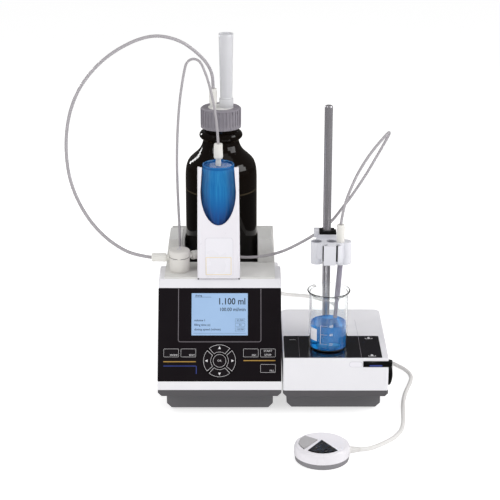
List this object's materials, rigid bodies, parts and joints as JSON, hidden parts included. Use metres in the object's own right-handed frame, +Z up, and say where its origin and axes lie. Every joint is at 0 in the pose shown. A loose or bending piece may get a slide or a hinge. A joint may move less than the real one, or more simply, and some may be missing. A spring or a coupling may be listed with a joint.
{
  "type": "electronic piston burette",
  "caption": "Bench piston burette: keypad base unit, glass dosing cylinder with valve, supply bottle, magnetic stirrer with rod, titration tip and beaker, and hand controller.",
  "frame": {"origin": "centre of the footprint at the height of the feet, cords and their plug left out", "axes": "+X to the user's right, +Y from the user to the back, +Z up"},
  "size_m": [0.4477, 0.5631, 0.4362],
  "materials": {
    "white_housing": "fine-textured moulded white plastic",
    "dark_band": "dark grey satin plastic",
    "grey_foot": "mid grey satin plastic",
    "rubber": "matt black rubber",
    "panel_black": "smooth black keypad foil",
    "display": "light blue backlit display behind clear glass",
    "key_black": "satin black keys with pale outlines",
    "board_green": "green circuit board",
    "steel": "machined steel",
    "motor_dark": "dark painted motor cases",
    "socket_dark": "black moulded sockets",
    "cradle_white": "light grey-white moulded plastic",
    "tower_white": "smooth white plastic",
    "blue_acrylic": "transparent blue light-protection sleeve",
    "clear_glass": "clear borosilicate glass",
    "ptfe_white": "waxy white fluoropolymer",
    "valve_white": "warm white moulded valve",
    "fitting_cream": "cream knurled union nuts",
    "tube_clear": "translucent fluoropolymer tube",
    "amber_glass": "dark amber glass",
    "cap_grey": "grey ribbed plastic screw cap",
    "dryer_clear": "translucent white drying tube",
    "plate_black": "black glass stirring plate",
    "rod_steel": "ground stainless rod",
    "clamp_white": "white moulded clamp",
    "collar_black": "black plastic",
    "hand_white": "smooth white plastic",
    "hand_grey": "grey plastic base",
    "key_grey": "soft grey key",
    "cable_white": "white cable sheath"
  },
  "bodies": {
    "base": {"base_foot": "grey_foot", "base_pan": "dark_band", "housing_shell": "white_housing", "rear_sockets": "socket_dark", "rubber_feet": "rubber", "housing_screws": "steel", "keypad_panel": "panel_black", "display_module": "display", "keypad_board": "board_green", "drive_frame": "steel", "motors": "motor_dark", "bottle_cradle": "cradle_white", "cylinder_base": "ptfe_white", "tower_cover": "tower_white", "uv_sleeve": "blue_acrylic", "glass_cylinder": "clear_glass", "cylinder_head": "ptfe_white", "valve_body": "valve_white", "tube_fittings": "fitting_cream", "stirrer_foot": "grey_foot", "stirrer_pan": "dark_band", "stirrer_housing": "white_housing", "stirrer_plate": "plate_black", "stand_rod": "rod_steel", "beaker": "clear_glass", "hand_base": "hand_grey", "hand_top": "hand_white", "suction_tube": "tube_clear", "cylinder_tube": "tube_clear", "dosing_tube": "tube_clear", "hand_plug": "cable_white", "hand_cable": "cable_white"},
    "piston_set": {"piston": "ptfe_white", "carriage": "steel"},
    "spindle": {"spindle": "steel"},
    "valve_plug": {"valve_plug": "ptfe_white"},
    "bottle_set": {"bottle": "amber_glass", "cap_insert": "ptfe_white", "bottle_fitting": "fitting_cream", "dip_tube": "tube_clear", "drying_tube": "dryer_clear"},
    "cap": {"cap_ring": "cap_grey"},
    "rotor": {"magnet_rotor": "motor_dark"},
    "stir_bar": {"stir_bar": "ptfe_white"},
    "speed_knob": {"speed_knob": "collar_black"},
    "clamp": {"clamp_body": "clamp_white", "dosing_tip": "fitting_cream"},
    "clamp_button": {"clamp_button": "collar_black"},
    "hand_key_front": {"hand_key_front": "collar_black"},
    "hand_key_side": {"hand_key_side": "key_grey"},
    "key_mode": {"key_mode": "key_black"},
    "key_edit": {"key_edit": "key_black"},
    "key_escape": {"key_escape": "key_black"},
    "key_start": {"key_start": "key_black"},
    "key_fill": {"key_fill": "key_black"},
    "key_ok": {"key_ok": "key_black"},
    "key_up": {"key_up": "key_black"},
    "key_down": {"key_down": "key_black"},
    "key_left": {"key_left": "key_black"},
    "key_right": {"key_right": "key_black"}
  },
  "joints": [
    {"name": "press_mode", "type": "slide", "parent": "base", "child": "key_mode", "axis": [0, 0.866, -0.5], "range_m": [0, 0.0005], "stiffness_N_per_m": 800, "springref_m": -0.0001},
    {"name": "press_edit", "type": "slide", "parent": "base", "child": "key_edit", "axis": [0, 0.866, -0.5], "range_m": [0, 0.0005], "stiffness_N_per_m": 800, "springref_m": -0.0001},
    {"name": "press_escape", "type": "slide", "parent": "base", "child": "key_escape", "axis": [0, 0.866, -0.5], "range_m": [0, 0.0005], "stiffness_N_per_m": 800, "springref_m": -0.0001},
    {"name": "press_start", "type": "slide", "parent": "base", "child": "key_start", "axis": [0, 0.866, -0.5], "range_m": [0, 0.0005], "stiffness_N_per_m": 800, "springref_m": -0.0001},
    {"name": "press_fill", "type": "slide", "parent": "base", "child": "key_fill", "axis": [0, 0.866, -0.5], "range_m": [0, 0.0005], "stiffness_N_per_m": 800, "springref_m": -0.0001},
    {"name": "press_ok", "type": "slide", "parent": "base", "child": "key_ok", "axis": [0, 0.866, -0.5], "range_m": [0, 0.0005], "stiffness_N_per_m": 800, "springref_m": -0.0001},
    {"name": "press_up", "type": "slide", "parent": "base", "child": "key_up", "axis": [0, 0.866, -0.5], "range_m": [0, 0.0005], "stiffness_N_per_m": 800, "springref_m": -0.0001},
    {"name": "press_down", "type": "slide", "parent": "base", "child": "key_down", "axis": [0, 0.866, -0.5], "range_m": [0, 0.0005], "stiffness_N_per_m": 800, "springref_m": -0.0001},
    {"name": "press_left", "type": "slide", "parent": "base", "child": "key_left", "axis": [0, 0.866, -0.5], "range_m": [0, 0.0005], "stiffness_N_per_m": 800, "springref_m": -0.0001},
    {"name": "press_right", "type": "slide", "parent": "base", "child": "key_right", "axis": [0, 0.866, -0.5], "range_m": [0, 0.0005], "stiffness_N_per_m": 800, "springref_m": -0.0001},
    {"name": "piston_slide", "type": "slide", "parent": "base", "child": "piston_set", "axis": [0, 0, 1], "range_m": [0, 0.07]},
    {"name": "spindle_spin", "type": "hinge", "parent": "base", "child": "spindle", "pos_m": [-0.0658, 0.02905, 0.06], "axis": [0, 0, 1], "range_deg": [0, 5040.5]},
    {"name": "valve_turn", "type": "hinge", "parent": "base", "child": "valve_plug", "pos_m": [-0.1155, 0.01705, 0.16], "axis": [0, 0, 1], "range_deg": [0, 120]},
    {"name": "bottle_lift", "type": "slide", "parent": "base", "child": "bottle_set", "axis": [0, 0, 1], "range_m": [0, 0.09], "deforming": ["suction_tube"]},
    {"name": "cap_turn", "type": "hinge", "parent": "bottle_set", "child": "cap", "pos_m": [-0.0652, 0.16805, 0.32], "axis": [0, 0, 1], "range_deg": [0, 360]},
    {"name": "clamp_slide", "type": "slide", "parent": "base", "child": "clamp", "axis": [0, 0, 1], "range_m": [0, 0.12], "deforming": ["dosing_tube"]},
    {"name": "press_clamp", "type": "slide", "parent": "clamp", "child": "clamp_button", "axis": [0, 1, 0], "range_m": [0, 0.001], "stiffness_N_per_m": 800, "springref_m": -0.0001},
    {"name": "speed_turn", "type": "hinge", "parent": "base", "child": "speed_knob", "pos_m": [0.144, -0.05445, 0.0485], "axis": [1, 0, 0], "range_deg": [0, 270]},
    {"name": "rotor_spin", "type": "hinge", "parent": "base", "child": "rotor", "pos_m": [0.0705, -0.03495, 0.06], "axis": [0, 0, 1], "continuous": true},
    {"name": "stir_bar_spin", "type": "hinge", "parent": "base", "child": "stir_bar", "pos_m": [0.0705, -0.03495, 0.0812], "axis": [0, 0, 1], "continuous": true},
    {"name": "press_hand_front", "type": "slide", "parent": "base", "child": "hand_key_front", "axis": [0, 0, -1], "range_m": [0, 0.0008], "stiffness_N_per_m": 800, "springref_m": -0.0001},
    {"name": "press_hand_side", "type": "slide", "parent": "base", "child": "hand_key_side", "axis": [0, 0, -1], "range_m": [0, 0.0008], "stiffness_N_per_m": 800, "springref_m": -0.0001}
  ],
  "couplings": [
    {"joint": "spindle_spin", "follows": "piston_slide", "rad_per_m": 1256.6},
    {"joint": "stir_bar_spin", "follows": "rotor_spin", "ratio": 1}
  ]
}
